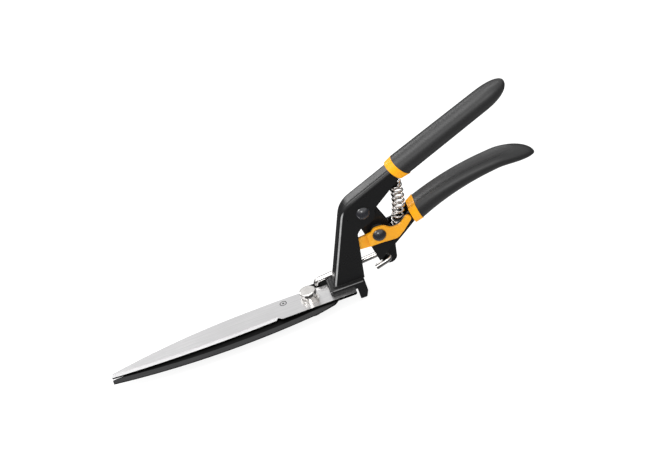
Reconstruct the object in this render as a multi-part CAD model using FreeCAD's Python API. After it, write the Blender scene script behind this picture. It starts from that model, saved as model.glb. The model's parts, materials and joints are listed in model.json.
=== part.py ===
import FreeCAD, Part

import math
import os

# Long-reach grass shears, closed and locked.
# Millimetres. +Z is up, the blades point along -X, the lock lever is on the -Y side.
# The origin is on the pivot bolt's axis, in the upper face of the fixed blade.

V = FreeCAD.Vector
UP = V(0, 0, 1)
ACROSS = V(0, 1, 0)

# ---- driving dimensions ------------------------------------------------------

TIP_X = -150.6                 # tip of the blades
TAIL_X = 32.8                  # rear end of the fixed blade
BLADE_T = 2.0                  # both blades
BLADE_GAP = 0.1                # between the blades' faces
BEVEL_DEPTH = 0.8              # ground bevel of the fixed blade
BEVEL_WIDTH = 2.5
RELIEF = 0.35                  # hollow in the fixed blade's underside
FACET_WIDTH = 3.4              # wide chamfer along the moving blade's spine
FACET_DEPTH = 1.3
NOTCH_X = -27.4                # where the cutting edge ends
EDGE_Y = -8.6                  # its near edge there
TAIL_EDGE_Y = -9.9             # and along the tail

BODY_Y = 3.6                   # middle of the pressed body
BODY_W = 13.6                  # outer width of its channel
SHEET = 1.5                    # steel of the body and of the lower handle
FOOT_TOP = 4.8                 # the foot's ledge
FOOT_NEAR = -6.6
FOOT_FAR = 11.6
FOOT_FRONT = 14.8
FOOT_REAR = 40.8
FLANGE_W = 0.9                 # rim round the channel's base
FLANGE_H = 0.8
HOOK_FRONT = 34.1              # heel hook behind the fixed blade's tail
HOOK_BOTTOM = -9.2

FRONT_BASE = (18.75, FOOT_TOP)  # outer line of the channel's web, side view
BEND = (41.9, 66.6)
BEND_R = 20.0
TOP_SLOPE = 22.8               # degrees, the upper leg and its grip
TANG_END = 160.0
TANG_DEPTH = 9.4

PIVOT = (55.7, 57.4)           # main rivet, side view (x, z)
LOCK = (61.5, 36.7)            # lock lever's rivet
EYE = (63.0, 8.2)              # link rod's eye in the lower handle
HEAD_NEAR = 0.9                # lower handle's walls where it runs inside the body
HEAD_FAR = 7.3
LOWER_Y = 3.9                  # middle of the lower handle's neck and grip
NECK_W = 13.0                  # its outer width outside the body
HEAD_R = 9.3

LEVER_NEAR = -5.5              # lock lever's plate
LEVER_FAR = -3.5
TONGUE_NEAR = -1.4             # its nose, stepped into the body's channel
TONGUE_FAR = 0.6
STEP_X = 52.8
STEP_T = 1.8

ROD_R = 2.1                    # link rod
ROD_Y = 14.2                   # its long leg, outside the body
EAR = (8.0, ROD_Y)             # its end in the moving blade, top view (x, y)
SHORT_LEG_Y = 3.2
ROD_BEND = 2.7                 # bend radius of its axis

SPRING_LOW = (75.6, 33.2)      # spring's axis, side view
SPRING_HIGH = (84.2, 70.8)
SPRING_Y = 3.8
SPRING_R = 3.85                # to the middle of the wire
WIRE_R = 0.85
SPRING_TURNS = 8.75
PEG_R = 2.6                    # pegs that hold its ends

SHANK_R = 4.0                  # pivot bolt
BUSH_R = 5.2                   # bush in the moving blade
RUNNING = 0.06                 # radial clearance of a pin in its bush
RIVET_R = 3.0                  # main rivet's shank
RIVET_HEAD = (5.2, 3.1)        # radius and height of its near head
RIVET_TAIL = (4.4, 1.6)        # and of its far head
LOCK_HEAD = (5.0, 3.0)         # lock rivet's head
BOLT_HEAD_R = 6.1


# ---- helpers -----------------------------------------------------------------

def arc_corner(before, corner, after, radius):
    """The two tangent points and the middle of an arc that rounds one corner, in 2-D."""
    ax, az = before[0] - corner[0], before[1] - corner[1]
    bx, bz = after[0] - corner[0], after[1] - corner[1]
    la, lb = math.hypot(ax, az), math.hypot(bx, bz)
    ax, az, bx, bz = ax / la, az / la, bx / lb, bz / lb
    half = math.acos(max(-1.0, min(1.0, ax * bx + az * bz))) / 2
    reach = radius / math.tan(half)
    mx, mz = ax + bx, az + bz
    lm = math.hypot(mx, mz)
    depth = radius / math.sin(half) - radius
    start = (corner[0] + ax * reach, corner[1] + az * reach)
    end = (corner[0] + bx * reach, corner[1] + bz * reach)
    middle = (corner[0] + mx / lm * depth, corner[1] + mz / lm * depth)
    return start, middle, end


def rounded_wire(corners, place):
    """Closed wire through (u, v, radius) corners; place(u, v) gives the 3-D point."""
    count = len(corners)
    runs = []
    for i in range(count):
        before, here, after = corners[i - 1], corners[i], corners[(i + 1) % count]
        if here[2] > 0:
            runs.append(arc_corner(before, here, after, here[2]))
        else:
            runs.append((here[:2], None, here[:2]))
    edges = []
    for i in range(count):
        start, middle, end = runs[i]
        if middle:
            edges.append(Part.Arc(place(*start), place(*middle), place(*end)).toShape())
        following = runs[(i + 1) % count][0]
        if math.hypot(following[0] - end[0], following[1] - end[1]) > 1e-6:
            edges.append(Part.LineSegment(place(*end), place(*following)).toShape())
    return Part.Wire(edges)


def plate_side(corners, y_low, y_high):
    """A plate drawn in the side view (x, z, radius), from y_low to y_high."""
    wire = rounded_wire(corners, lambda x, z: V(x, y_low, z))
    return Part.Face(wire).extrude(V(0, y_high - y_low, 0))


def plate_top(corners, z_low, z_high):
    """A plate drawn in the top view (x, y, radius), from z_low to z_high."""
    wire = rounded_wire(corners, lambda x, y: V(x, y, z_low))
    return Part.Face(wire).extrude(V(0, 0, z_high - z_low))


def pin_across(place, radius, y_low, y_high):
    return Part.makeCylinder(radius, y_high - y_low, V(place[0], y_low, place[1]), ACROSS)


def pin_up(place, radius, z_low, z_high):
    return Part.makeCylinder(radius, z_high - z_low, V(place[0], place[1], z_low), UP)


def dome(centre, radius, height, direction):
    """A rivet's domed head: the cap of a sphere on a plane through centre."""
    ball_r = (radius * radius + height * height) / (2 * height)
    ball = Part.makeSphere(ball_r, centre - direction * (ball_r - height))
    reach = 2 * ball_r
    keep = Part.makeCylinder(reach, reach, centre, direction)
    return ball.common(keep)


def oval(x, y, z, slope, width, height):
    """Closed oval wire across a handle's axis, which rises at slope degrees."""
    turn = math.radians(slope)
    normal = V(-math.sin(turn), 0, math.cos(turn))
    along = V(math.cos(turn), 0, math.sin(turn))
    if width >= height:
        ellipse = Part.Ellipse(V(), width / 2, height / 2)
        major = ACROSS
    else:
        ellipse = Part.Ellipse(V(), height / 2, width / 2)
        major = normal
    edge = ellipse.toShape()
    minor = along.cross(major)
    edge.Placement = FreeCAD.Placement(V(x, y, z), FreeCAD.Rotation(major, minor, along, "ZXY"))
    return Part.Wire([edge])


def loft(sections):
    return Part.makeLoft([oval(*s) for s in sections], True, False)


def along_line(base, slope, x, drop=0.0):
    """Point of a sloping side-view line at x, moved down square to the line by drop."""
    turn = math.radians(slope)
    z = base[1] + (x - base[0]) * math.tan(turn)
    return x + drop * math.sin(turn), z - drop * math.cos(turn)


def rotated_pair(low, high):
    """Unit vector from low to high in the side view, as a 3-D vector."""
    way = V(high[0] - low[0], 0, high[1] - low[1])
    way.normalize()
    return way


# ---- blades ------------------------------------------------------------------

def fixed_blade():
    """Upper blade: straight ground cutting edge on the near side, curved spine."""
    z_low = -BLADE_T
    points = {
        "tip_far": (TIP_X + 1.0, -2.6),
        "tip_near": (TIP_X, -6.0),
        "notch_edge": (NOTCH_X, EDGE_Y),
        "notch_root": (NOTCH_X + 1.2, EDGE_Y + 1.5),
        "notch_end": (NOTCH_X + 4.6, TAIL_EDGE_Y),
        "tail_near": (TAIL_X, TAIL_EDGE_Y),
        "tail_far": (TAIL_X, 10.6),
        "shoulder": (14.0, 10.6),
        "spine_root": (-38.4, 12.0),
    }
    at = {name: V(x, y, z_low) for name, (x, y) in points.items()}
    edges = [
        Part.LineSegment(at["tip_far"], at["tip_near"]).toShape(),
        Part.Arc(at["tip_near"], V(-88, -9.55, z_low), at["notch_edge"]).toShape(),
        Part.LineSegment(at["notch_edge"], at["notch_root"]).toShape(),
        Part.LineSegment(at["notch_root"], at["notch_end"]).toShape(),
        Part.LineSegment(at["notch_end"], at["tail_near"]).toShape(),
        Part.LineSegment(at["tail_near"], at["tail_far"]).toShape(),
        Part.LineSegment(at["tail_far"], at["shoulder"]).toShape(),
        Part.Arc(at["shoulder"], V(-12, 12.1, z_low), at["spine_root"]).toShape(),
        Part.Arc(at["spine_root"], V(-93.4, 8.3, z_low), at["tip_far"]).toShape(),
    ]
    blade = Part.Face(Part.Wire(edges)).extrude(V(0, 0, BLADE_T))
    corner = [
        e for e in blade.Edges
        if all(abs(v.X - TAIL_X) < 0.01 and abs(v.Y - TAIL_EDGE_Y) < 0.01 for v in e.Vertexes)
    ]
    blade = blade.makeFillet(1.8, corner)
    ahead = Part.makeBox(140, 60, 10, V(NOTCH_X + 1.2 - 140, -40, -5))
    bevel = edge_chamfer(edges[1].Curve, 0.0, BEVEL_WIDTH, BEVEL_DEPTH).common(ahead)
    hollow = Part.makeBox(96, 9.5, RELIEF, V(-132, -3.5, z_low))
    blade = blade.cut(bevel).cut(hollow)
    blade = blade.cut(pin_up((0, 0), SHANK_R + 0.05, -5, 5))
    for screw in BLADE_SCREWS:
        blade = blade.cut(pin_up(screw, SCREW_R + 0.05, -5, 5))
    return blade


def moving_blade():
    """Lower blade: its spine shows past the upper blade; the ear takes the link rod."""
    z_low = -BLADE_GAP - 2 * BLADE_T
    z_high = z_low + BLADE_T
    points = {
        "tip_near": (TIP_X - 0.2, -9.5),
        "spine_end": (4.8, -13.4),
        "tail_near": (15.2, -10.4),
        "tail_rear": (20.2, 1.0),
        "ear_root": (20.0, 9.0),
        "ear_rear": (17.5, 20.0),
        "ear_front": (2.5, 20.0),
        "throat": (-8.0, 8.5),
        "edge_root": (-26.0, -3.4),
        "tip_far": (TIP_X - 0.2, -6.8),
    }
    at = {name: V(x, y, z_low) for name, (x, y) in points.items()}
    edges = [
        Part.Arc(at["tip_near"], V(-72.9, -18.0, z_low), at["spine_end"]).toShape(),
        Part.LineSegment(at["spine_end"], at["tail_near"]).toShape(),
        Part.Arc(at["tail_near"], V(19.4, -5.0, z_low), at["tail_rear"]).toShape(),
        Part.LineSegment(at["tail_rear"], at["ear_root"]).toShape(),
        Part.Arc(at["ear_root"], V(20.2, 15.5, z_low), at["ear_rear"]).toShape(),
        Part.LineSegment(at["ear_rear"], at["ear_front"]).toShape(),
        Part.Arc(at["ear_front"], V(-3.6, 14.6, z_low), at["throat"]).toShape(),
        Part.Arc(at["throat"], V(-16.5, -0.5, z_low), at["edge_root"]).toShape(),
        Part.LineSegment(at["edge_root"], at["tip_far"]).toShape(),
        Part.LineSegment(at["tip_far"], at["tip_near"]).toShape(),
    ]
    blade = Part.Face(Part.Wire(edges)).extrude(V(0, 0, BLADE_T))
    blade = blade.cut(edge_chamfer(edges[0].Curve, z_high, FACET_WIDTH, FACET_DEPTH))
    blade = blade.cut(pin_up((0, 0), BUSH_R, -10, 5))
    return blade.cut(ear_slot())


def edge_chamfer(arc, z_high, width, depth):
    """Ring-shaped cutter that chamfers the top of a blade along an arched near edge."""
    edge = arc.Center.y - arc.Radius
    fall = depth / width
    profile = Part.makePolygon([
        V(arc.Center.x, edge + width, z_high),
        V(arc.Center.x, edge + width, z_high + 1.0),
        V(arc.Center.x, edge - 1.0, z_high + 1.0),
        V(arc.Center.x, edge - 1.0, z_high - depth - fall),
        V(arc.Center.x, edge + width, z_high),
    ])
    return Part.Face(profile).revolve(arc.Center, UP, 360)


def ear_slot():
    """Slot along the ear's radius: the rod's end keeps to a straight path as the ear swings."""
    radius = math.hypot(*EAR)
    slot_r = ROD_R + 0.45
    inner = 13.9
    outer = radius + 0.15
    box = Part.makeBox(outer - inner, 2 * slot_r, 10, V(inner, -slot_r, -8))
    slot = box.fuse(pin_up((inner, 0), slot_r, -8, 2)).fuse(pin_up((outer, 0), slot_r, -8, 2))
    slot.rotate(V(), UP, math.degrees(math.atan2(EAR[1], EAR[0])))
    return slot


# ---- blade pivot -------------------------------------------------------------

WASHER_T = 1.4
LOCK_WASHER_T = 1.8
HEAD_BASE = 5.0
HEAD_TOP = 8.9
LOW_WASHER_Z = -BLADE_GAP - 2 * BLADE_T - 0.3
LOW_WASHER_T = 1.2
NUT_T = 4.6
NUT_FLATS = 13.0
BLADE_SCREWS = [(26.6, 1.0), (26.6, 7.4)]
SCREW_R = 1.8
SCREW_HEAD_R = 2.8
CLAMP_T = 2.3
CLAMP_NEAR = -4.4
CLAMP_FAR = 10.4
CLAMP_FRONT = 21.6


def pivot_bolt():
    head = pin_up((0, 0), BOLT_HEAD_R, HEAD_BASE, HEAD_TOP)
    rims = [e for e in head.Edges if isinstance(e.Curve, Part.Circle)]
    head = head.makeFillet(1.1, rims)
    neck = pin_up((0, 0), 4.7, WASHER_T + LOCK_WASHER_T, HEAD_BASE + 0.5)
    end = LOW_WASHER_Z - LOW_WASHER_T - NUT_T - 0.6
    shank = pin_up((0, 0), SHANK_R, end, HEAD_BASE)
    return head.fuse([neck, shank]).removeSplitter()


def ring(radius, bore, z_low, thickness):
    outer = pin_up((0, 0), radius, z_low, z_low + thickness)
    return outer.cut(pin_up((0, 0), bore, z_low - 1, z_low + thickness + 1))


def spring_washer():
    """Split lock washer, its slit turned towards the tail."""
    washer = ring(5.9, SHANK_R + 0.1, WASHER_T, LOCK_WASHER_T)
    slit = Part.makeBox(8, 1.0, 6, V(2, -0.5, 0))
    slit.rotate(V(), UP, 35)
    return washer.cut(slit)


def pivot_nut():
    z_low = LOW_WASHER_Z - LOW_WASHER_T - NUT_T
    across = NUT_FLATS / math.cos(math.pi / 6) / 2
    corners = [
        (across * math.cos(math.radians(60 * i)), across * math.sin(math.radians(60 * i)), 0)
        for i in range(6)
    ]
    nut = plate_top(corners, z_low, z_low + NUT_T)
    cone = Part.makeCone(across - 1.2, across + 2.5, NUT_T, V(0, 0, z_low), UP)
    return nut.common(cone).cut(pin_up((0, 0), SHANK_R, -20, 0))


# ---- body --------------------------------------------------------------------

def body_line(x, drop=0.0):
    return along_line(BEND, TOP_SLOPE, x, drop)


def wide_end(drop):
    """Where the wide channel stops at the collar's front face, drop below its top line."""
    lean = math.tan(math.radians(UPPER_BAND_TILT))
    rise = math.tan(math.radians(TOP_SLOPE))
    start = along_line(BEND, TOP_SLOPE, BEND[0], drop)
    x = UPPER_AXIS[0] + lean * (UPPER_AXIS[1] - start[1] + rise * start[0])
    x = x / (1 + lean * rise)
    return x, start[1] + rise * (x - start[0])


def body_outline():
    return [
        (*FRONT_BASE, 0),
        (*BEND, BEND_R),
        (*wide_end(0.0), 0),
        (*wide_end(TANG_DEPTH), 0),
        (64.2, 57.5, 1.5),
        (62.4, 48.6, 8),
        (50.6, 45.4, 2),
        (47.3, 42.3, 4),
        (41.5, FOOT_TOP, 0),
    ]


def inner_outline():
    """The channel's inside: the web's inner line, and open towards the rear."""
    lean = math.atan2(BEND[0] - FRONT_BASE[0], BEND[1] - FRONT_BASE[1])
    base = (FRONT_BASE[0] + SHEET / math.cos(lean), FRONT_BASE[1])
    below = (base[0] - 10 * math.tan(lean), base[1] - 10)
    turn = math.radians(TOP_SLOPE)
    # the two inner lines meet where both are one sheet inside the outer ones
    x = (base[0] - base[1] * math.tan(lean)
         + (BEND[1] - BEND[0] * math.tan(turn) - SHEET / math.cos(turn)) * math.tan(lean))
    x = x / (1 - math.tan(lean) * math.tan(turn))
    z = BEND[1] + (x - BEND[0]) * math.tan(turn) - SHEET / math.cos(turn)
    far = along_line((x, z), TOP_SLOPE, TANG_END + 20)
    return [(*below, 0), (x, z, BEND_R - SHEET), (*far, 0), (far[0], below[1], 0)]


def body_frame():
    near, far = BODY_Y - BODY_W / 2, BODY_Y + BODY_W / 2
    solid = plate_side(body_outline(), near, far)
    lean = math.atan2(BEND[0] - FRONT_BASE[0], BEND[1] - FRONT_BASE[1])

    def on_web(vertex):
        x, z = vertex.X, vertex.Z
        front = abs((x - FRONT_BASE[0]) * math.cos(lean) - (z - FRONT_BASE[1]) * math.sin(lean))
        turn = math.radians(TOP_SLOPE)
        top = abs((z - BEND[1]) * math.cos(turn) - (x - BEND[0]) * math.sin(turn))
        return min(front, top) < 0.02

    rims = [
        e for e in solid.Edges
        if all(on_web(v) for v in e.Vertexes)
        and abs(e.Vertexes[0].Y - e.Vertexes[-1].Y) < 0.01
    ]
    solid = solid.makeFillet(3.6, rims)
    inside = plate_side(inner_outline(), near + SHEET, far - SHEET)
    frame = solid.cut(inside)
    tang_inside = plate_side([
        (*body_line(75.0, SHEET), 0),
        (*body_line(TANG_END + 2, SHEET), 0),
        (*body_line(TANG_END + 2, 2 * TANG_DEPTH), 0),
        (*body_line(75.0, 2 * TANG_DEPTH), 0),
    ], BODY_Y - TANG_W / 2 + SHEET, BODY_Y + TANG_W / 2 - SHEET)
    frame = frame.fuse(tang_bar().cut(tang_inside)).removeSplitter()
    frame = frame.cut(pin_across(PIVOT, RIVET_R + 0.05, near - 5, far + 5))
    return frame


def foot_block():
    """The foot: a ledge all round the channel, and the heel hook behind the blade's tail."""
    corner = 3.2
    ledge = plate_top([
        (FOOT_FRONT, FOOT_NEAR, corner),
        (FOOT_REAR, FOOT_NEAR, 1.5),
        (FOOT_REAR, FOOT_FAR, 1.5),
        (FOOT_FRONT, FOOT_FAR, corner),
    ], 0.0, FOOT_TOP)
    rims = [
        e for e in ledge.Edges
        if all(abs(v.Z - FOOT_TOP) < 0.01 for v in e.Vertexes)
    ]
    ledge = ledge.makeFillet(1.3, rims)
    hook = plate_side([
        (HOOK_FRONT, 2.0, 0),
        (HOOK_FRONT, HOOK_BOTTOM, 1.0),
        (FOOT_REAR - 2.0, HOOK_BOTTOM, 1.2),
        (FOOT_REAR, HOOK_BOTTOM + 5.0, 1.5),
        (FOOT_REAR, 2.0, 0),
    ], FOOT_NEAR, FOOT_FAR)
    foot = ledge.fuse([hook, base_flange()]).removeSplitter()
    for screw in BLADE_SCREWS:
        foot = foot.cut(pin_up(screw, SCREW_R, -1, 3.8))
    return foot


def base_flange():
    """Low rim that stands round the channel's base on the ledge."""
    near, far = BODY_Y - BODY_W / 2, BODY_Y + BODY_W / 2
    rim = plate_top([
        (FRONT_BASE[0] - FLANGE_W, near - FLANGE_W, 2.5),
        (FOOT_REAR - 0.4, near - FLANGE_W, 0.8),
        (FOOT_REAR - 0.4, far + FLANGE_W, 0.8),
        (FRONT_BASE[0] - FLANGE_W, far + FLANGE_W, 2.5),
    ], FOOT_TOP - 0.5, FOOT_TOP + FLANGE_H)
    return rim.cut(plate_side(body_outline(), near, far))


def tail_clamp_plate():
    plate = plate_top([
        (CLAMP_FRONT, CLAMP_NEAR, 1.0),
        (TAIL_X, CLAMP_NEAR, 1.0),
        (TAIL_X, CLAMP_FAR, 1.0),
        (CLAMP_FRONT, CLAMP_FAR, 1.0),
    ], -BLADE_T - CLAMP_T, -BLADE_T)
    for screw in BLADE_SCREWS:
        plate = plate.cut(pin_up(screw, SCREW_R + 0.05, -8, 1))
    return plate


def blade_screws():
    """Two pan-head screws that clamp the fixed blade to the foot."""
    screws = []
    z_head = -BLADE_T - CLAMP_T
    for place in BLADE_SCREWS:
        head = pin_up(place, SCREW_HEAD_R, z_head - 2.2, z_head)
        lower = [e for e in head.Edges if abs(e.BoundBox.ZMax - (z_head - 2.2)) < 0.01]
        head = head.makeFillet(1.0, lower)
        slot = Part.makeBox(8, 1.0, 1.1, V(place[0] - 4, place[1] - 0.5, z_head - 2.3))
        shank = pin_up(place, SCREW_R, z_head - 0.5, 3.6)
        screws.append(head.cut(slot).fuse(shank).removeSplitter())
    return Part.makeCompound(screws)


UPPER_AXIS = (86.2, 79.6)      # front of the collar on the grip's axis, side view
UPPER_SLOPE = 22.3
UPPER_BAND_TILT = 36.0         # the collar's edges lean more than the grip's own cross-section
UPPER_COLLAR_L = 6.6
COLLAR_LEAN = 9.0              # how far its leaning ends reach along the axis
UPPER_GRIP_L = 96.6            # sleeve behind the collar
UPPER_TAPER = 0.08             # how much thinner it gets towards its end
TANG_W = 10.8                  # both tangs inside the sleeves


def tang_bar():
    """The upper tang as one solid bar, to hollow the sleeve moulded round it."""
    front = 79.0
    bar = plate_side([
        (*body_line(front), 0),
        (*body_line(TANG_END), 0),
        (*body_line(TANG_END, TANG_DEPTH), 0),
        (*body_line(front, TANG_DEPTH), 0),
    ], BODY_Y - TANG_W / 2, BODY_Y + TANG_W / 2)
    long_edges = [e for e in bar.Edges if e.Length > TANG_END - front]
    return bar.makeFillet(2.4, long_edges)


def end_taper(share, bluntness):
    """Size of a sleeve's section along its rounded end, share 0 to 1."""
    return (1 - share ** 2.5) ** bluntness


def sleeve_stations(length, end_length, bluntness):
    """(distance, size) of a sleeve's sections, evenly spaced and closer at the rounded end."""
    plain = [(length - end_length) * i / 10 for i in range(11)]
    stations = [(distance, 1.0) for distance in plain]
    for share in (0.2, 0.4, 0.58, 0.74, 0.86, 0.94, 0.98, 0.996):
        stations.append((length - end_length + end_length * share, end_taper(share, bluntness)))
    return stations


def slab(place, tilt, length, y_middle):
    """The space between two parallel planes that lean by tilt, starting at a side-view point."""
    half = 40.0
    block = Part.makeBox(length, 2 * half, 2 * half, V(place[0], y_middle - half, place[1] - half))
    block.rotate(V(place[0], y_middle, place[1]), ACROSS, -tilt)
    return block


def band(front, rear, tilt, y_middle):
    """The slab whose two faces pass through two side-view points."""
    turn = math.radians(tilt)
    depth = (rear[0] - front[0]) * math.cos(turn) + (rear[1] - front[1]) * math.sin(turn)
    return slab(front, tilt, depth, y_middle)


def upper_axis_point(distance):
    x, _, z = upper_sections(distance, [(0.0, 1.0)], 1.0, 1.0)[0][:3]
    return x, z


def upper_sections(start, stations, width, height):
    turn = math.radians(UPPER_SLOPE)
    sections = []
    for distance, size in stations:
        reach = start + distance
        rise = height * (1 - size) * 0.1
        x = UPPER_AXIS[0] + reach * math.cos(turn) - rise * math.sin(turn)
        z = UPPER_AXIS[1] + reach * math.sin(turn) + rise * math.cos(turn)
        sections.append((x, BODY_Y, z, UPPER_SLOPE, width * size, height * size))
    return sections


def upper_grip():
    """Sleeve behind the collar, a little thicker where it meets it."""
    stations = [
        (distance, size * (1 - UPPER_TAPER * distance / UPPER_GRIP_L))
        for distance, size in sleeve_stations(UPPER_GRIP_L, 24.0, 0.5)
    ]
    flare = upper_sections(UPPER_COLLAR_L - COLLAR_LEAN, [(0.0, 1.0)], 20.8, 18.6)
    sleeve = loft(flare + upper_sections(UPPER_COLLAR_L, stations, 19.6, 16.8))
    behind = slab(upper_axis_point(UPPER_COLLAR_L), UPPER_BAND_TILT, 120, BODY_Y)
    return sleeve.common(behind).cut(tang_bar())


def upper_collar():
    front = upper_sections(-COLLAR_LEAN, [(0.0, 1.0)], 15.8, 13.6)
    rear = upper_sections(UPPER_COLLAR_L + COLLAR_LEAN, [(0.0, 1.0)], 22.0, 19.8)
    edges = band(UPPER_AXIS, upper_axis_point(UPPER_COLLAR_L), UPPER_BAND_TILT, BODY_Y)
    return loft(front + rear).common(edges).cut(tang_bar())


# ---- lower handle ------------------------------------------------------------

NECK_RIM = [(69.4, 37.4), (75.6, 38.2), (87.3, 45.3)]
NECK_SOLE = [(69.4, 22.2), (79.0, 29.0), (88.6, 36.2)]
GRIP_ARC = [(88.0, 39.75), (118.0, 51.5), (150.0, 58.0)]
TANG_ABOVE = 2.0               # tang's rim over the grip's axis
TANG_BELOW = 4.2


def near_wall_outline():
    return [
        (47.0, 57.0, 0),
        (50.8, 42.6, 1.5),
        (52.4, 34.0, 0),
        (53.4, 24.6, 0),
        (55.8, 10.8, 1.0),
        (57.4, 11.2, 1.0),
        (70.4, 22.9, 0),
        (70.4, 39.0, 0),
        (64.9, 56.5, 0),
    ]


def far_wall_outline():
    return [
        (47.0, 57.0, 0),
        (50.8, 42.6, 1.5),
        (52.4, 34.0, 0),
        (53.4, 24.6, 0),
        (57.6, 7.0, 0),
        (68.5, 7.5, 0),
        (70.4, 18.0, 3),
        (70.4, 39.0, 0),
        (64.9, 56.5, 0),
    ]


def front_web_outline():
    """The head channel's web, along its front edge."""
    return [
        (50.8, 42.6, 0),
        (52.4, 34.0, 0),
        (53.4, 24.6, 0),
        (55.8, 10.8, 0),
        (55.8 + SHEET, 11.2, 0),
        (53.4 + SHEET, 25.0, 0),
        (52.4 + SHEET, 34.4, 0),
        (50.8 + SHEET, 43.0, 0),
    ]


def neck_outline():
    rim, sole = NECK_RIM, NECK_SOLE
    return [
        (*sole[0], 0),
        (*sole[1], 12),
        (*sole[2], 0),
        (*rim[2], 0),
        (*rim[1], 6),
        (*rim[0], 0),
    ]


def neck_hollow():
    """Inside of the neck's channel, open at the top."""
    sole = NECK_SOLE
    lift = 1.9
    return [
        (sole[0][0] + SHEET, sole[0][1] + lift + 1.0, 0),
        (sole[1][0], sole[1][1] + lift, 12),
        (sole[2][0] + 3, sole[2][1] + lift + 2.4, 0),
        (sole[2][0] + 3, 60.0, 0),
        (sole[0][0] + SHEET, 60.0, 0),
    ]


def grip_circle():
    return Part.Arc(*[V(x, 0, z) for x, z in GRIP_ARC]).toShape().Curve


def arc_band(below, above, x_end, y_low, y_high):
    """A bar that follows the lower grip's arched axis, from below it to above it."""
    circle = grip_circle()
    centre, radius = circle.Center, circle.Radius
    start = math.atan2(GRIP_ARC[0][1] - centre.z, GRIP_ARC[0][0] - centre.x)
    end = math.acos((x_end - centre.x) / radius)

    def at(angle, offset):
        r = radius + offset
        return V(centre.x + r * math.cos(angle), y_low, centre.z + r * math.sin(angle))

    middle = (start + end) / 2
    edges = [
        Part.Arc(at(start, -below), at(middle, -below), at(end, -below)).toShape(),
        Part.LineSegment(at(end, -below), at(end, above)).toShape(),
        Part.Arc(at(end, above), at(middle, above), at(start, above)).toShape(),
        Part.LineSegment(at(start, above), at(start, -below)).toShape(),
    ]
    return Part.Face(Part.Wire(edges)).extrude(V(0, y_high - y_low, 0))


def lower_tang_envelope():
    return arc_band(TANG_BELOW, TANG_ABOVE, 155.0, LOWER_Y - TANG_W / 2, LOWER_Y + TANG_W / 2)


def lower_handle():
    """Channel lever: head inside the body, tail down to the link eye, neck and tang behind."""
    half = NECK_W / 2
    near, far = LOWER_Y - half, LOWER_Y + half
    head_disc = pin_across(PIVOT, HEAD_R, HEAD_NEAR, HEAD_NEAR + SHEET)
    far_disc = pin_across(PIVOT, HEAD_R, HEAD_FAR - SHEET, HEAD_FAR)
    eye_disc = pin_across(EYE, 5.6, HEAD_FAR - SHEET, HEAD_FAR)
    pieces = [
        plate_side(near_wall_outline(), HEAD_NEAR, HEAD_NEAR + SHEET),
        plate_side(far_wall_outline(), HEAD_FAR - SHEET, HEAD_FAR),
        plate_side(front_web_outline(), HEAD_NEAR, HEAD_FAR),
        head_disc,
        far_disc,
        eye_disc,
    ]
    neck = plate_side(neck_outline(), near, far)
    neck = neck.cut(plate_side(neck_hollow(), near + SHEET, far - SHEET))
    opening = Part.makeBox(8, HEAD_FAR - HEAD_NEAR - 2 * SHEET, 60, V(66, HEAD_NEAR + SHEET, 26.5))
    neck = neck.cut(opening)
    tang = lower_tang_envelope()
    inner_half = TANG_W / 2 - SHEET
    tang = tang.cut(arc_band(TANG_BELOW - SHEET, 30.0, 165.0,
                             LOWER_Y - inner_half, LOWER_Y + inner_half))
    handle = neck.fuse(pieces + [tang]).removeSplitter()
    handle = handle.cut(pin_across(PIVOT, RIVET_R + 1.4, -20, 30))
    handle = handle.cut(pin_across(LOCK, LOCK_SHANK_R, -20, 30))
    handle = handle.cut(pin_across(EYE, ROD_R + RUNNING, -20, 30))
    return handle


LOWER_COLLAR_L = 6.2
LOWER_GRIP_END = 99.6          # from the collar's front to the tip, along the axis
LOWER_BAND_TILT = 11.0
LOWER_H_FRONT = 17.2           # sleeve's height at the collar and at the tip's start
LOWER_H_REAR = 12.0
LOWER_W = 19.2
TIP_DROP = 6.4                 # how far the tip bends down
SCOOP_FRONT = 5.4              # floor of the dished top over the axis, at the collar
SCOOP_REAR = 3.5               # and near the tip
SCOOP_R = 13.0                 # its radius across the grip


def grip_axis(distance):
    """Point (x, z) and slope in degrees on the lower grip's axis."""
    circle = grip_circle()
    centre, radius = circle.Center, circle.Radius
    start = math.atan2(GRIP_ARC[0][1] - centre.z, GRIP_ARC[0][0] - centre.x)
    angle = start - distance / radius
    x = centre.x + radius * math.cos(angle)
    z = centre.z + radius * math.sin(angle)
    return x, z, math.degrees(angle) - 90


def grip_section(distance, width, height, drop=0.0):
    x, z, slope = grip_axis(distance)
    return x, LOWER_Y, z - drop, slope, width, height


def lower_sections(start, stations):
    """Sections of the lower sleeve, which gets flatter towards its tip and bends down there."""
    sections = []
    for distance, size in stations:
        share = max(0.0, min(1.0, (start + distance) / (LOWER_GRIP_END - 20.0)))
        height = LOWER_H_FRONT + (LOWER_H_REAR - LOWER_H_FRONT) * share
        drop = TIP_DROP * math.sqrt(1 - size)
        sections.append(grip_section(start + distance, LOWER_W * size, height * size, drop))
    return sections


def above_axis(distance, offset):
    x, z, slope = grip_axis(distance)
    turn = math.radians(slope)
    return V(x - offset * math.sin(turn), LOWER_Y, z + offset * math.cos(turn))


def scoop():
    """Round-bottomed cutter that dishes the top of the lower sleeve along its length."""
    middle = (SCOOP_FRONT + SCOOP_REAR) / 2
    floor = Part.Arc(above_axis(0.0, SCOOP_FRONT), above_axis(42.0, middle),
                     above_axis(84.0, SCOOP_REAR)).toShape().Curve
    return Part.makeTorus(floor.Radius + SCOOP_R, SCOOP_R, floor.Center, ACROSS)


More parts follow.
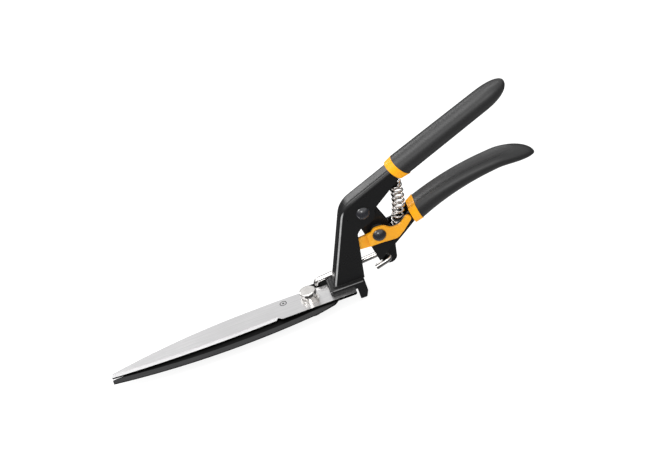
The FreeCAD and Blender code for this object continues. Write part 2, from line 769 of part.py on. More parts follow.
def lower_grip():
    """Sleeve with a dished top and rounded rims, moulded over the tang."""
    stations = sleeve_stations(LOWER_GRIP_END - LOWER_COLLAR_L, 26.0, 0.55)
    front = lower_sections(LOWER_COLLAR_L - 6.0, [(0.0, 1.0)])
    sleeve = loft(front + lower_sections(LOWER_COLLAR_L, stations))
    behind = slab(grip_axis(LOWER_COLLAR_L), LOWER_BAND_TILT, 140, LOWER_Y)
    return sleeve.common(behind).cut(scoop()).cut(lower_tang_envelope())


def lower_collar():
    front = grip_section(-6.0, 16.4, 14.0)
    rear = grip_section(LOWER_COLLAR_L + 6.0, 21.4, 19.6)
    edges = band(grip_axis(0.0), grip_axis(LOWER_COLLAR_L), LOWER_BAND_TILT, LOWER_Y)
    neck = plate_side(neck_outline(), LOWER_Y - NECK_W / 2, LOWER_Y + NECK_W / 2)
    collar = loft([front, rear]).common(edges).cut(scoop())
    return collar.cut(lower_tang_envelope()).cut(neck)


# ---- handle pivot, lock lever ------------------------------------------------

LOCK_SHANK_R = 2.5


def main_rivet():
    near, far = BODY_Y - BODY_W / 2, BODY_Y + BODY_W / 2
    shank = pin_across(PIVOT, RIVET_R, near - 0.2, far + 0.2)
    near_head = dome(V(PIVOT[0], near, PIVOT[1]), *RIVET_HEAD, -ACROSS)
    far_head = dome(V(PIVOT[0], far, PIVOT[1]), *RIVET_TAIL, ACROSS)
    return shank.fuse([near_head, far_head]).removeSplitter()


def handle_bush():
    """Bush through the lower handle's head; it turns on the main rivet."""
    outer = pin_across(PIVOT, RIVET_R + 1.4, HEAD_NEAR - 0.1, HEAD_FAR + 0.1)
    return outer.cut(pin_across(PIVOT, RIVET_R + RUNNING, -20, 30))


def pivot_spacers():
    """A washer each side of the lower handle's head, inside the body."""
    near = BODY_Y - BODY_W / 2 + SHEET
    far = BODY_Y + BODY_W / 2 - SHEET
    spacers = []
    for low, high in ((near, HEAD_NEAR - 0.35), (HEAD_FAR + 0.35, far)):
        disc = pin_across(PIVOT, 6.5, low, high)
        spacers.append(disc.cut(pin_across(PIVOT, RIVET_R, -20, 30)))
    return Part.makeCompound(spacers)


def lever_outline():
    """Hub, left arm and raised thumb arm of the lock lever's plate."""
    return [
        (STEP_X, 29.6, 0),
        (63.4, 29.2, 5),
        (73.4, 28.4, 6),
        (79.4, 33.0, 8),
        (87.8, 41.2, 2.5),
        (84.4, 44.8, 2.2),
        (77.4, 38.6, 8),
        (71.0, 38.6, 5),
        (66.4, 42.7, 6),
        (58.8, 43.4, 5),
        (56.4, 40.4, 1.5),
        (STEP_X, 40.0, 0),
    ]


def tongue_outline():
    return [
        (44.6, 27.5, 1.6),
        (STEP_X + STEP_T, 26.7, 0),
        (STEP_X + STEP_T, 37.5, 0),
        (44.6, 36.6, 0.6),
    ]


def lever_step():
    """The joggle between the plate and the tongue."""
    corners = [
        V(STEP_X, LEVER_NEAR, 29.6),
        V(STEP_X, LEVER_NEAR, 40.0),
        V(STEP_X, LEVER_FAR, 40.0),
        V(STEP_X, TONGUE_FAR, 37.4),
        V(STEP_X, TONGUE_FAR, 26.8),
        V(STEP_X, TONGUE_NEAR, 26.8),
    ]
    face = Part.Face(Part.makePolygon(corners + [corners[0]]))
    return face.extrude(V(STEP_T, 0, 0))


def lock_lever():
    plate = plate_side(lever_outline(), LEVER_NEAR, LEVER_FAR)
    rims = [
        e for e in plate.Edges
        if all(abs(v.Y - LEVER_NEAR) < 0.01 for v in e.Vertexes)
        and min(v.X for v in e.Vertexes) > STEP_X + 0.5
    ]
    plate = plate.makeFillet(0.6, rims)
    tongue = plate_side(tongue_outline(), TONGUE_NEAR, TONGUE_FAR)
    lever = plate.fuse([tongue, lever_step()]).removeSplitter()
    return lever.cut(pin_across(LOCK, LOCK_SHANK_R + RUNNING, -20, 30))


def lock_rivet():
    shank = pin_across(LOCK, LOCK_SHANK_R, LEVER_NEAR - 0.6, HEAD_NEAR + SHEET + 0.4)
    head = dome(V(LOCK[0], LEVER_NEAR - 0.3, LOCK[1]), *LOCK_HEAD, -ACROSS)
    tail = pin_across(LOCK, 3.8, HEAD_NEAR + SHEET, HEAD_NEAR + SHEET + 1.2)
    return shank.fuse([head, tail]).removeSplitter()


def lever_spacer():
    """Friction washer between the lever and the lower handle's near wall."""
    disc = pin_across(LOCK, 5.2, LEVER_FAR + 0.3, HEAD_NEAR)
    return disc.cut(pin_across(LOCK, LOCK_SHANK_R, -20, 30))


# ---- link rod ----------------------------------------------------------------

ROD_FRONT_Z = 3.6              # height of the long leg at its front end
ROD_FOOT_Z = -6.2              # end of the leg through the ear
SHORT_LEG = 11.6
SHORT_DROP = 16.0              # degrees below level


def rod_route():
    """The rod's axis, corner by corner, from the ear to the end of the short leg."""
    drop = math.radians(SHORT_DROP)
    return [
        V(EAR[0], ROD_Y, ROD_FOOT_Z),
        V(EAR[0], ROD_Y, ROD_FRONT_Z),
        V(EYE[0], ROD_Y, EYE[1]),
        V(EYE[0], SHORT_LEG_Y, EYE[1]),
        V(EYE[0] - SHORT_LEG * math.cos(drop), SHORT_LEG_Y, EYE[1] - SHORT_LEG * math.sin(drop)),
    ]


def bent_wire(points, radius):
    """Straight runs joined by tangent arcs of one radius."""
    edges = []
    last = points[0]
    for before, corner, after in zip(points, points[1:], points[2:]):
        a = (before - corner).normalize()
        b = (after - corner).normalize()
        half = a.getAngle(b) / 2
        reach = radius / math.tan(half)
        inward = (a + b).normalize()
        middle = corner + inward * (radius / math.sin(half) - radius)
        start, end = corner + a * reach, corner + b * reach
        edges.append(Part.LineSegment(last, start).toShape())
        edges.append(Part.Arc(start, middle, end).toShape())
        last = end
    edges.append(Part.LineSegment(last, points[-1]).toShape())
    return Part.Wire(edges)


def link_rod():
    route = rod_route()
    path = bent_wire(route, ROD_BEND)
    way = (route[1] - route[0]).normalize()
    section = Part.Wire([Part.Circle(route[0], way, ROD_R).toShape()])
    return path.makePipeShell([section], True, True)


def rod_retainer():
    """Push-on ring that keeps the rod's end in the ear."""
    z_low = LOW_WASHER_Z - 1.0
    disc = pin_up(EAR, 4.2, z_low, z_low + 0.8)
    return disc.cut(pin_up(EAR, ROD_R, -20, 10))


# ---- return spring -----------------------------------------------------------

def spring_frame():
    way = rotated_pair(SPRING_LOW, SPRING_HIGH)
    base = V(SPRING_LOW[0], SPRING_Y, SPRING_LOW[1])
    return base, way


def return_spring():
    length = math.hypot(SPRING_HIGH[0] - SPRING_LOW[0], SPRING_HIGH[1] - SPRING_LOW[1])
    pitch = length / SPRING_TURNS
    helix = Part.makeHelix(pitch, length, SPRING_R)
    start = V(SPRING_R, 0, 0)
    climb = V(0, SPRING_R, pitch / (2 * math.pi)).normalize()
    section = Part.Wire([Part.Circle(start, climb, WIRE_R).toShape()])
    coil = Part.Wire(helix.Edges).makePipeShell([section], True, True)
    base, way = spring_frame()
    coil.Placement = FreeCAD.Placement(base, FreeCAD.Rotation(UP, way))
    return coil


def lower_spring_peg():
    """Seat on the neck's floor, and a peg inside the coil."""
    base, way = spring_frame()
    under = WIRE_R + 0.1
    seat = Part.makeCylinder(3.9, 6.0, base - way * (under + 6.0), way)
    peg = Part.makeCylinder(PEG_R, 6.0, base - way * (under + 0.5), way)
    pieces = seat.fuse(peg).cut(lower_handle()).Solids
    return max(pieces, key=lambda piece: piece.BoundBox.ZMax)


def upper_spring_peg():
    """Seat under the channel's web, and a peg inside the coil."""
    _, way = spring_frame()
    top = V(SPRING_HIGH[0], SPRING_Y, SPRING_HIGH[1])
    over = WIRE_R + 0.1
    seat = Part.makeCylinder(3.4, 9.0, top + way * over, way)
    peg = Part.makeCylinder(PEG_R, 6.0, top - way * 4.5, way)
    peg = seat.fuse(peg).cut(body_frame()).cut(upper_collar())
    return min(peg.Solids, key=lambda piece: piece.BoundBox.ZMin)


# ---- nodes -------------------------------------------------------------------

def build_nodes():
    low_washer = ring(6.6, SHANK_R + 0.05, LOW_WASHER_Z - LOW_WASHER_T, LOW_WASHER_T)
    bush = ring(BUSH_R, SHANK_R + RUNNING, -2 * BLADE_T - BLADE_GAP, BLADE_T)
    return {
        "body_frame": body_frame(),
        "foot_block": foot_block(),
        "fixed_blade": fixed_blade(),
        "tail_clamp_plate": tail_clamp_plate(),
        "blade_screws": blade_screws(),
        "pivot_bolt": pivot_bolt(),
        "flat_washer": ring(6.6, SHANK_R + 0.05, 0.0, WASHER_T),
        "spring_washer": spring_washer(),
        "lower_washer": low_washer,
        "pivot_nut": pivot_nut(),
        "upper_grip": upper_grip(),
        "upper_collar": upper_collar(),
        "main_rivet": main_rivet(),
        "pivot_spacers": pivot_spacers(),
        "upper_spring_peg": upper_spring_peg(),
        "moving_blade": moving_blade(),
        "blade_bush": bush,
        "lower_handle": lower_handle(),
        "lower_grip": lower_grip(),
        "lower_collar": lower_collar(),
        "handle_bush": handle_bush(),
        "lock_rivet": lock_rivet(),
        "lever_spacer": lever_spacer(),
        "lower_spring_peg": lower_spring_peg(),
        "lock_lever": lock_lever(),
        "link_rod": link_rod(),
        "rod_retainer": rod_retainer(),
        "return_spring": return_spring(),
    }


os.makedirs("parts", exist_ok=True)
for name, shape in build_nodes().items():
    shape.exportStep("parts/" + name + ".step")
    print(name, "solids", len(shape.Solids), "valid", shape.isValid(),
          "volume", round(shape.Volume, 1))
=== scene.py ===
import json
import math

import bpy
from mathutils import Matrix, Vector


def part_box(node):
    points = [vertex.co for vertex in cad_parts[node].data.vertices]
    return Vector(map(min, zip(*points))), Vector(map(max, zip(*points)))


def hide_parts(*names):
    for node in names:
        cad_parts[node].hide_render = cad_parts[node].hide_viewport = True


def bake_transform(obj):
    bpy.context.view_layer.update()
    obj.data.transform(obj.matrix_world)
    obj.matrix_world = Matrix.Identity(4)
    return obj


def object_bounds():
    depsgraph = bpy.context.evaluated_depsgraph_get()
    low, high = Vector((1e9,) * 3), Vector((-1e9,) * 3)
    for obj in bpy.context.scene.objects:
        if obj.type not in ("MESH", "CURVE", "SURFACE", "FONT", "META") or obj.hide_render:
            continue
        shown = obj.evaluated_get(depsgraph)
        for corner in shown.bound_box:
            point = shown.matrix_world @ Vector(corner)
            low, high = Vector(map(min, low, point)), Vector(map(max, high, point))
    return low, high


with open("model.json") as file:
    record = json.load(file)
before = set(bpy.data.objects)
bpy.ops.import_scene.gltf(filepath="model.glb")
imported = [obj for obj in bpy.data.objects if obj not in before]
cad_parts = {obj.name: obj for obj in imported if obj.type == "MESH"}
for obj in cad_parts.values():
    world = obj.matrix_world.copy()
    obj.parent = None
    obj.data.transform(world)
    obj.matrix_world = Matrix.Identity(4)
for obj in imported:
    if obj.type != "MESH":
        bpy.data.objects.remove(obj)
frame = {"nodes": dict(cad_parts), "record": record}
cad_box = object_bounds()

MM = 0.001
NODES = frame["nodes"]
RECORD = frame["record"]


# ---- camera: over the near side, rolled so that the blades rise to the right ---

VIEW_RISE = math.radians(36)       # the camera looks down by this much
VIEW_ROLL = math.radians(20)       # the blades' line rises to the right by this much
VIEW_WIDTH = 0.4558                # metres across the picture
VIEW_AIM = (0.00848, 0.04763)      # picture centre from the pivot bolt, along the picture
VIEW_DISTANCE = 1.6
VIEW_DEPTH = 10


def make_camera():
    """Parallel view from the near side and above."""
    ahead = Vector((0, math.cos(VIEW_RISE), -math.sin(VIEW_RISE)))
    level = Vector((1, 0, 0))
    rise = Vector((0, math.sin(VIEW_RISE), math.cos(VIEW_RISE)))
    right = level * math.cos(VIEW_ROLL) - rise * math.sin(VIEW_ROLL)
    up = level * math.sin(VIEW_ROLL) + rise * math.cos(VIEW_ROLL)
    data = bpy.data.cameras.new("camera")
    data.type = "ORTHO"
    data.ortho_scale = VIEW_WIDTH
    data.clip_end = VIEW_DEPTH
    camera = bpy.data.objects.new("camera", data)
    place = right * VIEW_AIM[0] + up * VIEW_AIM[1] - ahead * VIEW_DISTANCE
    turn = Matrix((right, up, -ahead)).transposed().to_4x4()
    camera.matrix_world = Matrix.Translation(place) @ turn
    bpy.context.scene.collection.objects.link(camera)
    bpy.context.scene.camera = camera


make_camera()


# ---- shader helpers -----------------------------------------------------------

class Shader:
    """A Principled material built up in steps from noise, wear and grain."""

    def __init__(self, name):
        self.material = bpy.data.materials.new(name)
        self.material.use_nodes = True
        self.tree = self.material.node_tree
        self.tree.nodes.clear()
        self.output = self.add("ShaderNodeOutputMaterial")
        self.bsdf = self.add("ShaderNodeBsdfPrincipled")
        self.join(self.bsdf.outputs["BSDF"], self.output.inputs["Surface"])
        self.place = self.add("ShaderNodeTexCoord").outputs["Object"]

    def add(self, kind, **settings):
        node = self.tree.nodes.new(kind)
        for key, value in settings.items():
            setattr(node, key, value)
        return node

    def join(self, source, target):
        self.tree.links.new(source, target)

    def set(self, **values):
        for name, value in values.items():
            self.bsdf.inputs[name.replace("_", " ")].default_value = value

    def stretched(self, stretch):
        mapping = self.add("ShaderNodeMapping")
        mapping.inputs["Scale"].default_value = stretch
        self.join(self.place, mapping.inputs["Vector"])
        return mapping.outputs["Vector"]

    def noise(self, scale, detail=3.0, stretch=(1, 1, 1), distortion=0.0):
        node = self.add("ShaderNodeTexNoise")
        node.inputs["Scale"].default_value = scale
        node.inputs["Detail"].default_value = detail
        node.inputs["Distortion"].default_value = distortion
        self.join(self.stretched(stretch), node.inputs["Vector"])
        return node.outputs["Fac"]

    def cells(self, scale):
        node = self.add("ShaderNodeTexVoronoi", feature="SMOOTH_F1")
        node.inputs["Scale"].default_value = scale
        self.join(self.place, node.inputs["Vector"])
        return node.outputs["Distance"]

    def remap(self, value, low, high, to_low, to_high):
        node = self.add("ShaderNodeMapRange")
        for name, number in (("From Min", low), ("From Max", high),
                             ("To Min", to_low), ("To Max", to_high)):
            node.inputs[name].default_value = number
        self.join(value, node.inputs["Value"])
        return node.outputs["Result"]

    def math(self, operation, a, b):
        node = self.add("ShaderNodeMath", operation=operation)
        for socket, value in zip(node.inputs, (a, b)):
            if isinstance(value, (int, float)):
                socket.default_value = value
            else:
                self.join(value, socket)
        return node.outputs["Value"]

    def mix(self, share, first, second):
        node = self.add("ShaderNodeMix", data_type="RGBA")
        colours = [socket for socket in node.inputs if socket.type == "RGBA"]
        for socket, value in zip(colours, (first, second)):
            if isinstance(value, tuple):
                socket.default_value = (*value, 1.0)
            else:
                self.join(value, socket)
        self.join(share, node.inputs["Factor"])
        return next(socket for socket in node.outputs if socket.type == "RGBA")

    def edges(self, low, high):
        """Share of bare or rubbed surface, high on convex edges and broken up by noise."""
        geometry = self.add("ShaderNodeNewGeometry")
        rubbed = self.remap(geometry.outputs["Pointiness"], low, high, 0.0, 1.0)
        patches = self.remap(self.noise(260, 4), 0.45, 0.62, 0.0, 1.0)
        return self.math("MULTIPLY", rubbed, patches)

    def rounded(self, radius):
        bevel = self.add("ShaderNodeBevel", samples=6)
        bevel.inputs["Radius"].default_value = radius
        return bevel.outputs["Normal"]

    def bump(self, height, depth, strength=1.0, over=None):
        node = self.add("ShaderNodeBump")
        node.inputs["Distance"].default_value = depth
        node.inputs["Strength"].default_value = strength
        self.join(height, node.inputs["Height"])
        if over is not None:
            self.join(over, node.inputs["Normal"])
        return node.outputs["Normal"]

    def colour(self, value):
        self.join(value, self.bsdf.inputs["Base Color"])

    def roughness(self, value):
        self.join(value, self.bsdf.inputs["Roughness"])

    def normal(self, value):
        self.join(value, self.bsdf.inputs["Normal"])


def shade(colour, factor):
    return tuple(min(1.0, channel * factor) for channel in colour)


# ---- materials ----------------------------------------------------------------

def coated_metal(name, colour, rough, gloss, peel=0.02, rub=None):
    """Powder coat or paint on pressed steel: orange-peel bump, faint dust, rubbed edges."""
    s = Shader(name)
    s.set(Metallic=0.0, IOR=1.5, Specular_IOR_Level=gloss)
    patches = s.remap(s.noise(38, 5), 0.3, 0.7, 0.0, 1.0)
    tone = s.mix(patches, shade(colour, 0.94), shade(colour, 1.06))
    specks = s.remap(s.noise(2600, 2), 0.64, 0.76, 0.0, 0.25)
    tone = s.mix(specks, tone, shade(colour, 1.4))
    worn = s.edges(0.54, 0.64)
    s.colour(s.mix(worn, tone, rub or shade(colour, 2.4)))
    s.roughness(s.remap(s.noise(60, 4), 0.3, 0.7, rough - 0.02, rough + 0.03))
    peel_bump = s.bump(s.noise(900, 2), peel * MM, 1.0, s.rounded(0.35 * MM))
    s.normal(peel_bump)
    return s.material


def pressed_steel(name, colour, rough, gloss, crests):
    """Black coat with painted highlights: a lighter grey where the surface faces along one of the
    crests' directions.
    """
    s = Shader(name)
    s.set(Metallic=0.0, IOR=1.5, Specular_IOR_Level=gloss)
    tone = s.mix(s.noise(38, 5), shade(colour, 0.92), shade(colour, 1.08))
    specks = s.remap(s.noise(2600, 2), 0.64, 0.76, 0.0, 0.25)
    tone = s.mix(specks, tone, shade(colour, 1.4))
    normal = s.add("ShaderNodeTexCoord").outputs["Normal"]
    break_up = s.remap(s.noise(120, 3), 0.3, 0.6, 0.8, 1.0)
    # Painted highlight: bends that face each entry's direction get a light grey that stands in for the
    # gloss line along them; the grey carried as rubbed is this painted highlight, not wear.
    for direction, start, full, rubbed in crests:
        dot = s.add("ShaderNodeVectorMath", operation="DOT_PRODUCT")
        dot.inputs[1].default_value = Vector(direction).normalized()
        s.join(normal, dot.inputs[0])
        highlight_share = s.remap(dot.outputs["Value"], start, full, 0.0, 1.0)
        tone = s.mix(s.math("MULTIPLY", highlight_share, break_up), tone, (rubbed, rubbed, rubbed))
    s.colour(tone)
    s.roughness(s.remap(s.noise(60, 4), 0.3, 0.7, rough - 0.02, rough + 0.03))
    s.normal(s.bump(s.noise(900, 2), 0.02 * MM, 1.0, s.rounded(0.35 * MM)))
    return s.material


def coated_blade(name, colour, facet, rough, gloss):
    """Friction coating, greyer on the ground facet along the spine. Partly painted light: the
    near-facing facet is painted lighter, and the flat land's near black is partly its black coating and
    partly painted shade.
    """
    s = Shader(name)
    s.set(Metallic=0.0, IOR=1.5, Specular_IOR_Level=gloss)
    split = s.add("ShaderNodeSeparateXYZ")
    s.join(s.add("ShaderNodeTexCoord").outputs["Normal"], split.inputs["Vector"])
    # Partly painted light: the facet facing the near side and up is painted grey, part ground finish
    # and part the light it catches; the flat land's near black is part coating and part painted shade.
    on_facet = s.remap(split.outputs["Y"], -0.12, -0.26, 0.0, 1.0)
    facing_up = s.remap(split.outputs["Z"], 0.6, 0.8, 0.0, 1.0)
    on_facet = s.math("MULTIPLY", on_facet, facing_up)
    lines = s.noise(420, 5, stretch=(0.12, 5.0, 1.0))
    worn = s.remap(lines, 0.35, 0.65, 0.75, 1.0)
    tone = s.mix(s.noise(60, 4), shade(colour, 0.9), shade(colour, 1.1))
    s.colour(s.mix(s.math("MULTIPLY", on_facet, worn), tone, facet))
    s.roughness(s.remap(s.noise(80, 4), 0.3, 0.7, rough - 0.02, rough + 0.04))
    s.normal(s.bump(lines, 0.006 * MM, 0.6, s.rounded(0.15 * MM)))
    return s.material


BEVEL_TONE = 0.67                  # the coarser ground bevel against the blade's face
BEVEL_ROUGHER = 0.14
WALL_TONE = 0.05                   # painted shade: the side walls darkened against the blade's face
MARK_TONE = 0.12                   # the stamped mark against the blade's face
MARK_AHEAD = 19.0 * MM             # of the pivot bolt, towards the tip
MARK_FAR = 7.2 * MM                # beyond the pivot bolt, from the near side
MARK_R = 2.3 * MM
MARK_LINE = (0.28 * MM, 0.4 * MM)  # half width of the ring's line, and of its soft edge
MARK_DOT = (0.8 * MM, 0.95 * MM)
MARK_DEPTH = 0.05 * MM


def ground_steel(name, colour, rough):
    """Blade steel ground along its length, with fine scratches, side walls darkened as painted shade,
    and a small stamped ring.
    """
    s = Shader(name)
    s.set(Metallic=1.0)
    lines = s.noise(300, 6, stretch=(0.10, 4.5, 1.0))
    fine = s.noise(1500, 3, stretch=(0.05, 1.6, 1.0))
    clouds = s.remap(s.noise(26, 4), 0.35, 0.65, 0.0, 1.0)
    tone = s.mix(clouds, shade(colour, 0.95), shade(colour, 1.04))
    streak = s.remap(lines, 0.40, 0.64, 0.0, 0.8)
    tone = s.mix(streak, tone, shade(colour, 0.86))
    mark = ring_mark(s)
    tone = s.mix(mark, tone, shade(colour, MARK_TONE))
    split = s.add("ShaderNodeSeparateXYZ")
    s.join(s.add("ShaderNodeTexCoord").outputs["Normal"], split.inputs["Vector"])
    on_bevel = s.remap(split.outputs["Y"], -0.12, -0.22, 0.0, 1.0)
    on_bevel = s.math("MULTIPLY", on_bevel, s.remap(split.outputs["Z"], 0.6, 0.8, 0.0, 1.0))
    tone = s.mix(on_bevel, tone, shade(colour, BEVEL_TONE))
    # Painted shade: faces that are far from level (the side walls) are darkened to WALL_TONE.
    shaded_wall = s.remap(s.math("ABSOLUTE", split.outputs["Z"], 0), 0.5, 0.3, 0.0, 1.0)
    s.colour(s.mix(shaded_wall, tone, shade(colour, WALL_TONE)))
    grain = s.remap(lines, 0.3, 0.7, rough - 0.05, rough + 0.07)
    s.roughness(s.math("ADD", grain, s.math("MULTIPLY", on_bevel, BEVEL_ROUGHER)))
    normal = s.bump(fine, 0.006 * MM, 0.6, s.rounded(0.15 * MM))
    normal = s.bump(mark, -MARK_DEPTH, 0.8, normal)
    s.normal(normal)
    return s.material


def ring_mark(s):
    """1 inside a stamped ring and its centre dot, on the fixed blade ahead of the bolt."""
    low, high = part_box("pivot_bolt")
    bolt = (low + high) / 2
    centre = Vector((bolt.x - MARK_AHEAD, bolt.y + MARK_FAR, 0))
    offset = s.add("ShaderNodeVectorMath", operation="SUBTRACT")
    offset.inputs[1].default_value = centre
    s.join(s.place, offset.inputs[0])
    split = s.add("ShaderNodeSeparateXYZ")
    s.join(offset.outputs["Vector"], split.inputs["Vector"])
    x, y = split.outputs["X"], split.outputs["Y"]
    reach = s.math("SQRT", s.math("ADD", s.math("MULTIPLY", x, x), s.math("MULTIPLY", y, y)), 0)
    off_ring = s.math("ABSOLUTE", s.math("SUBTRACT", reach, MARK_R), 0)
    ring = s.remap(off_ring, *MARK_LINE, 1.0, 0.0)
    dot = s.remap(reach, *MARK_DOT, 1.0, 0.0)
    return s.math("MAXIMUM", ring, dot)


def plated_steel(name, colour, rough):
    """Nickel-plated or bright steel with turning marks, light tarnish and painted shade in its
    crevices.
    """
    s = Shader(name)
    s.set(Metallic=1.0)
    clouds = s.remap(s.noise(180, 5), 0.35, 0.65, 0.0, 1.0)
    tone = s.mix(clouds, shade(colour, 0.88), shade(colour, 1.06))
    spots = s.remap(s.noise(900, 4), 0.64, 0.72, 0.0, 0.5)
    tone = s.mix(spots, tone, shade(colour, 0.45))
    # Painted shade: concave crevices, where pointiness is low, are darkened towards near black.
    crevice_shade = s.remap(s.add("ShaderNodeNewGeometry").outputs["Pointiness"], 0.49, 0.44, 0.0, 0.9)
    s.colour(s.mix(crevice_shade, tone, shade(colour, 0.08)))
    s.roughness(s.remap(s.noise(320, 3), 0.3, 0.7, rough - 0.04, rough + 0.08))
    scratches = s.noise(1400, 3, stretch=(1.0, 1.0, 0.2))
    s.normal(s.bump(scratches, 0.005 * MM, 0.5, s.rounded(0.2 * MM)))
    return s.material


def dipped_vinyl(name, colour, rough):
    """Dipped vinyl sleeve: fine pebble grain, soft sheen, handled patches."""
    s = Shader(name)
    s.set(Metallic=0.0, IOR=1.5, Specular_IOR_Level=0.5)
    patches = s.remap(s.noise(30, 4), 0.35, 0.65, 0.0, 1.0)
    tone = s.mix(patches, shade(colour, 0.92), shade(colour, 1.08))
    grain = s.cells(1500)
    pits = s.remap(grain, 0.1, 0.5, 0.0, 0.5)
    s.colour(s.mix(pits, tone, shade(colour, 0.7)))
    s.roughness(s.remap(s.noise(45, 4), 0.3, 0.7, rough - 0.02, rough + 0.03))
    normal = s.bump(grain, 0.03 * MM, 0.55)
    s.normal(s.bump(s.noise(420, 3), 0.03 * MM, 0.4, normal))
    return s.material


def satin_plastic(name, colour, rough, dark):
    """Moulded plastic: faint mottling, fine grain and small grimy spots."""
    s = Shader(name)
    s.set(Metallic=0.0, IOR=1.48, Specular_IOR_Level=0.25)
    patches = s.remap(s.noise(90, 4), 0.35, 0.65, 0.0, 1.0)
    tone = s.mix(patches, shade(colour, 0.93), shade(colour, 1.05))
    grime = s.remap(s.noise(700, 5), 0.6, 0.75, 0.0, 0.3)
    s.colour(s.mix(grime, tone, dark))
    s.roughness(s.remap(s.noise(200, 3), 0.3, 0.7, rough - 0.05, rough + 0.06))
    s.normal(s.bump(s.noise(1300, 2), 0.015 * MM, 0.6, s.rounded(0.3 * MM)))
    return s.material


BLACK = (0.011, 0.011, 0.0115)
ORANGE = (1.0, 0.42, 0.006)
FRONT_CREST = (-0.66, -0.71, 0.25)
FAR_CREST = (-0.66, 0.71, 0.25)
LEDGE_CREST = (0.0, -0.71, 0.71)
# Each entry of painted highlight: its direction, how closely a surface faces it where the painted
# highlight starts and where it is full, and the grey painted there.
CRESTS = [
    (FRONT_CREST, 0.972, 0.990, 0.42),
    (FAR_CREST, 0.975, 0.990, 0.30),
    (LEDGE_CREST, 0.955, 0.985, 0.16),
]

MATERIALS = {
    "black_coat": pressed_steel("black_coat", BLACK, 0.28, 0.34, CRESTS),
    "blade_coating": coated_blade("blade_coating", (0.002, 0.002, 0.002), (0.040, 0.040, 0.041),
                                  0.42, 0.05),
    "blade_steel": ground_steel("blade_steel", (0.66, 0.655, 0.66), 0.34),
    "plated_steel": plated_steel("plated_steel", (0.80, 0.78, 0.76), 0.13),
    "spring_steel": plated_steel("spring_steel", (0.84, 0.80, 0.77), 0.16),
    "black_rivet": coated_metal("black_rivet", (0.024, 0.024, 0.029), 0.12, 1.0, peel=0.003),
    "grip_vinyl": dipped_vinyl("grip_vinyl", (0.026, 0.026, 0.0265), 0.40),
    "collar_orange": satin_plastic("collar_orange", ORANGE, 0.36, (0.85, 0.32, 0.01)),
    "lever_orange": coated_metal("lever_orange", ORANGE, 0.30, 0.5, rub=(1.0, 0.52, 0.05)),
    "washer_nylon": satin_plastic("washer_nylon", (0.05, 0.05, 0.05), 0.5, (0.02, 0.02, 0.02)),
    "peg_plastic": satin_plastic("peg_plastic", (0.012, 0.012, 0.012), 0.5, (0.006, 0.006, 0.006)),
    "bush_brass": plated_steel("bush_brass", (0.75, 0.53, 0.24), 0.30),
}

for part in RECORD["subparts"]:
    mesh = NODES[part["node"]].data
    mesh.materials.clear()
    mesh.materials.append(MATERIALS[part["material_slot"]])


# ---- return spring ------------------------------------------------------------

WIRE_R = 0.85 * MM
COIL_R = 3.95 * MM
LEAN = math.atan2(8.6, 37.6)       # of the coil's axis, towards the rear
BOW = 1.5 * MM                     # how far its middle bulges to the rear
END_TILT = math.radians(18)        # how far its end turns lie back onto the handles
CLOSED_PITCH = 2.1 * MM            # of the first and last turn
OPEN_PITCH = 4.3 * MM
STEPS_PER_TURN = 40
WIRE_SIDES = 12


def spring_line(base, axis, across, length):
    """Points of a left-handed coil's middle line, its end turns nearly closed up."""
    open_turns = (length - 2 * CLOSED_PITCH) / OPEN_PITCH
    turns = open_turns + 2
    points = []
    count = round(turns * STEPS_PER_TURN)
    for step in range(count + 1):
        turn = step * turns / count
        closed = min(turn, 1.0) + max(0.0, turn - open_turns - 1)
        height = closed * CLOSED_PITCH + (turn - closed) * OPEN_PITCH
        share = height / length
        tilt = END_TILT * (2 * share - 1) ** 2
        bow = BOW * math.sin(math.pi * min(1.0, share ** 1.3))
        outward = across * math.cos(tilt) + axis * math.sin(tilt)
        angle = -2 * math.pi * turn
        ring = outward * math.cos(angle) + Vector((0, 1, 0)) * math.sin(angle)
        points.append(base + axis * height + across * bow + ring * COIL_R)
    return points


def tube(name, points, radius, sides):
    """A closed round tube along points, with flat ends."""
    vertices, faces = [], []
    previous = None
    for i, point in enumerate(points):
        ahead = points[min(i + 1, len(points) - 1)] - points[max(i - 1, 0)]
        ahead.normalize()
        if previous is None:
            previous = ahead.orthogonal().normalized()
        normal = (previous - ahead * previous.dot(ahead)).normalized()
        previous = normal
        binormal = ahead.cross(normal)
        for j in range(sides):
            angle = 2 * math.pi * j / sides
            vertices.append(point + (normal * math.cos(angle) + binormal * math.sin(angle)) * radius)
    rings = len(points)
    for i in range(rings - 1):
        for j in range(sides):
            k = (j + 1) % sides
            faces.append((i * sides + j, i * sides + k, (i + 1) * sides + k, (i + 1) * sides + j))
    faces.append(tuple(reversed(range(sides))))
    faces.append(tuple((rings - 1) * sides + j for j in range(sides)))
    mesh = bpy.data.meshes.new(name)
    mesh.from_pydata(vertices, [], faces)
    mesh.polygons.foreach_set("use_smooth", [True] * len(mesh.polygons))
    mesh.update()
    piece = bpy.data.objects.new(name, mesh)
    bpy.context.scene.collection.objects.link(piece)
    return piece


def make_spring():
    """The coil, built at one length between its two seats; on the tool it stretches as the handle
    opens.
    """
    low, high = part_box("return_spring")
    axis = Vector((math.sin(LEAN), 0, math.cos(LEAN)))
    across = Vector((math.cos(LEAN), 0, -math.sin(LEAN)))
    reach = COIL_R * math.cos(LEAN) + WIRE_R
    lift = COIL_R * math.sin(LEAN) + WIRE_R
    middle_y = (low.y + high.y) / 2
    seated = COIL_R * math.sin(END_TILT)
    bottom = Vector((low.x + reach, middle_y, low.z + lift)) + axis * seated
    top = Vector((high.x - reach, middle_y, high.z - lift)) - axis * seated
    line = spring_line(bottom, axis, across, (top - bottom).length)
    spring = tube("return_spring_coil", line, WIRE_R, WIRE_SIDES)
    spring.data.materials.append(MATERIALS["spring_steel"])
    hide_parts("return_spring")
    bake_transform(spring)
    return spring


make_spring()


# ---- floor, light -------------------------------------------------------------

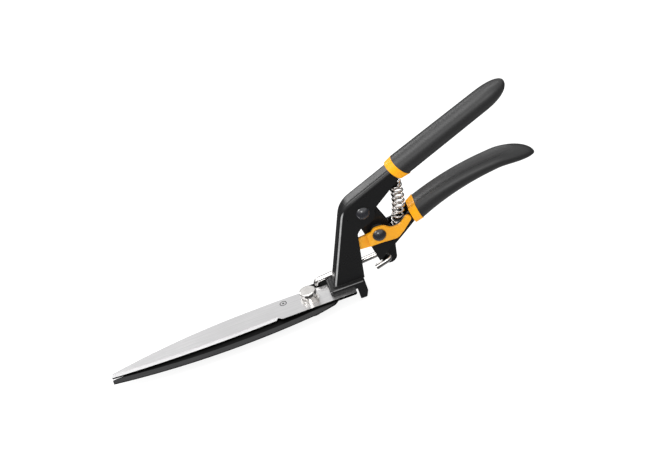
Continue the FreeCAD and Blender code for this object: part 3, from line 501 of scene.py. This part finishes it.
def light_table(name):
    """Matt white sheet, faintly lit from below."""
    s = Shader(name)
    s.set(Roughness=0.9, Specular_IOR_Level=0.1, Emission_Color=(1, 1, 1, 1),
          Emission_Strength=0.88)
    s.colour(s.mix(s.noise(4, 3), (0.22, 0.22, 0.22), (0.23, 0.23, 0.23)))
    return s.material


FLOOR_HALF = 3.0


def make_floor():
    """Sheet under the part that bright metal doesn't mirror."""
    half = FLOOR_HALF
    z = cad_box[0].z
    corners = [(-half, -half, z), (half, -half, z), (half, half, z), (-half, half, z)]
    mesh = bpy.data.meshes.new("floor")
    mesh.from_pydata(corners, [], [(0, 1, 2, 3)])
    floor = bpy.data.objects.new("floor", mesh)
    bpy.context.scene.collection.objects.link(floor)
    floor.data.materials.append(light_table("floor"))
    floor.visible_glossy = False


def softbox(name, place, aim, size, power):
    """Rectangular light in metres and watts, turned to face aim."""
    data = bpy.data.lights.new(name, "AREA")
    data.shape = "RECTANGLE"
    data.size, data.size_y = size
    data.energy = power
    light = bpy.data.objects.new(name, data)
    light.location = place
    direction = Vector(aim) - Vector(place)
    light.rotation_euler = direction.to_track_quat("-Z", "Y").to_euler()
    bpy.context.scene.collection.objects.link(light)


def make_world():
    """Pale room: bright overhead, a dark band round the horizon, dim below."""
    world = bpy.data.worlds.new("room")
    bpy.context.scene.world = world
    world.use_nodes = True
    tree = world.node_tree
    background = tree.nodes["Background"]
    place = tree.nodes.new("ShaderNodeTexCoord")
    split = tree.nodes.new("ShaderNodeSeparateXYZ")
    height = tree.nodes.new("ShaderNodeMapRange")
    ramp = tree.nodes.new("ShaderNodeValToRGB")
    tree.links.new(place.outputs["Generated"], split.inputs["Vector"])
    tree.links.new(split.outputs["Z"], height.inputs["Value"])
    height.inputs["From Min"].default_value = -1.0
    tree.links.new(height.outputs["Result"], ramp.inputs["Fac"])
    tree.links.new(ramp.outputs["Color"], background.inputs["Color"])
    bands = [(0.0, 0.40), (0.14, 0.14), (0.22, 0.07), (0.42, 0.06), (0.58, 0.12), (0.74, 0.92),
             (1.0, 0.95)]
    stops = ramp.color_ramp.elements
    while len(stops) < len(bands):
        stops.new(0.5)
    for stop, (position, level) in zip(stops, bands):
        stop.position = position
        stop.color = (level, level, level, 1)


make_floor()
make_world()
softbox("overhead", (0.0, 0.25, 0.98), (0.0, 0.0, 0.02), (0.7, 0.3), 2.6)
softbox("left_high", (-0.58, -0.07, 0.85), (0.10, 0.0, 0.08), (0.45, 0.45), 3.4)
softbox("left_back", (-0.44, 0.82, 0.48), (0.05, 0.0, 0.07), (0.35, 0.30), 1.6)
softbox("front_fill", (-0.15, -0.95, 0.80), (0.08, 0.0, 0.06), (0.5, 0.35), 2.6)
bpy.context.scene.view_settings.view_transform = "Standard"

bpy.context.view_layer.update()
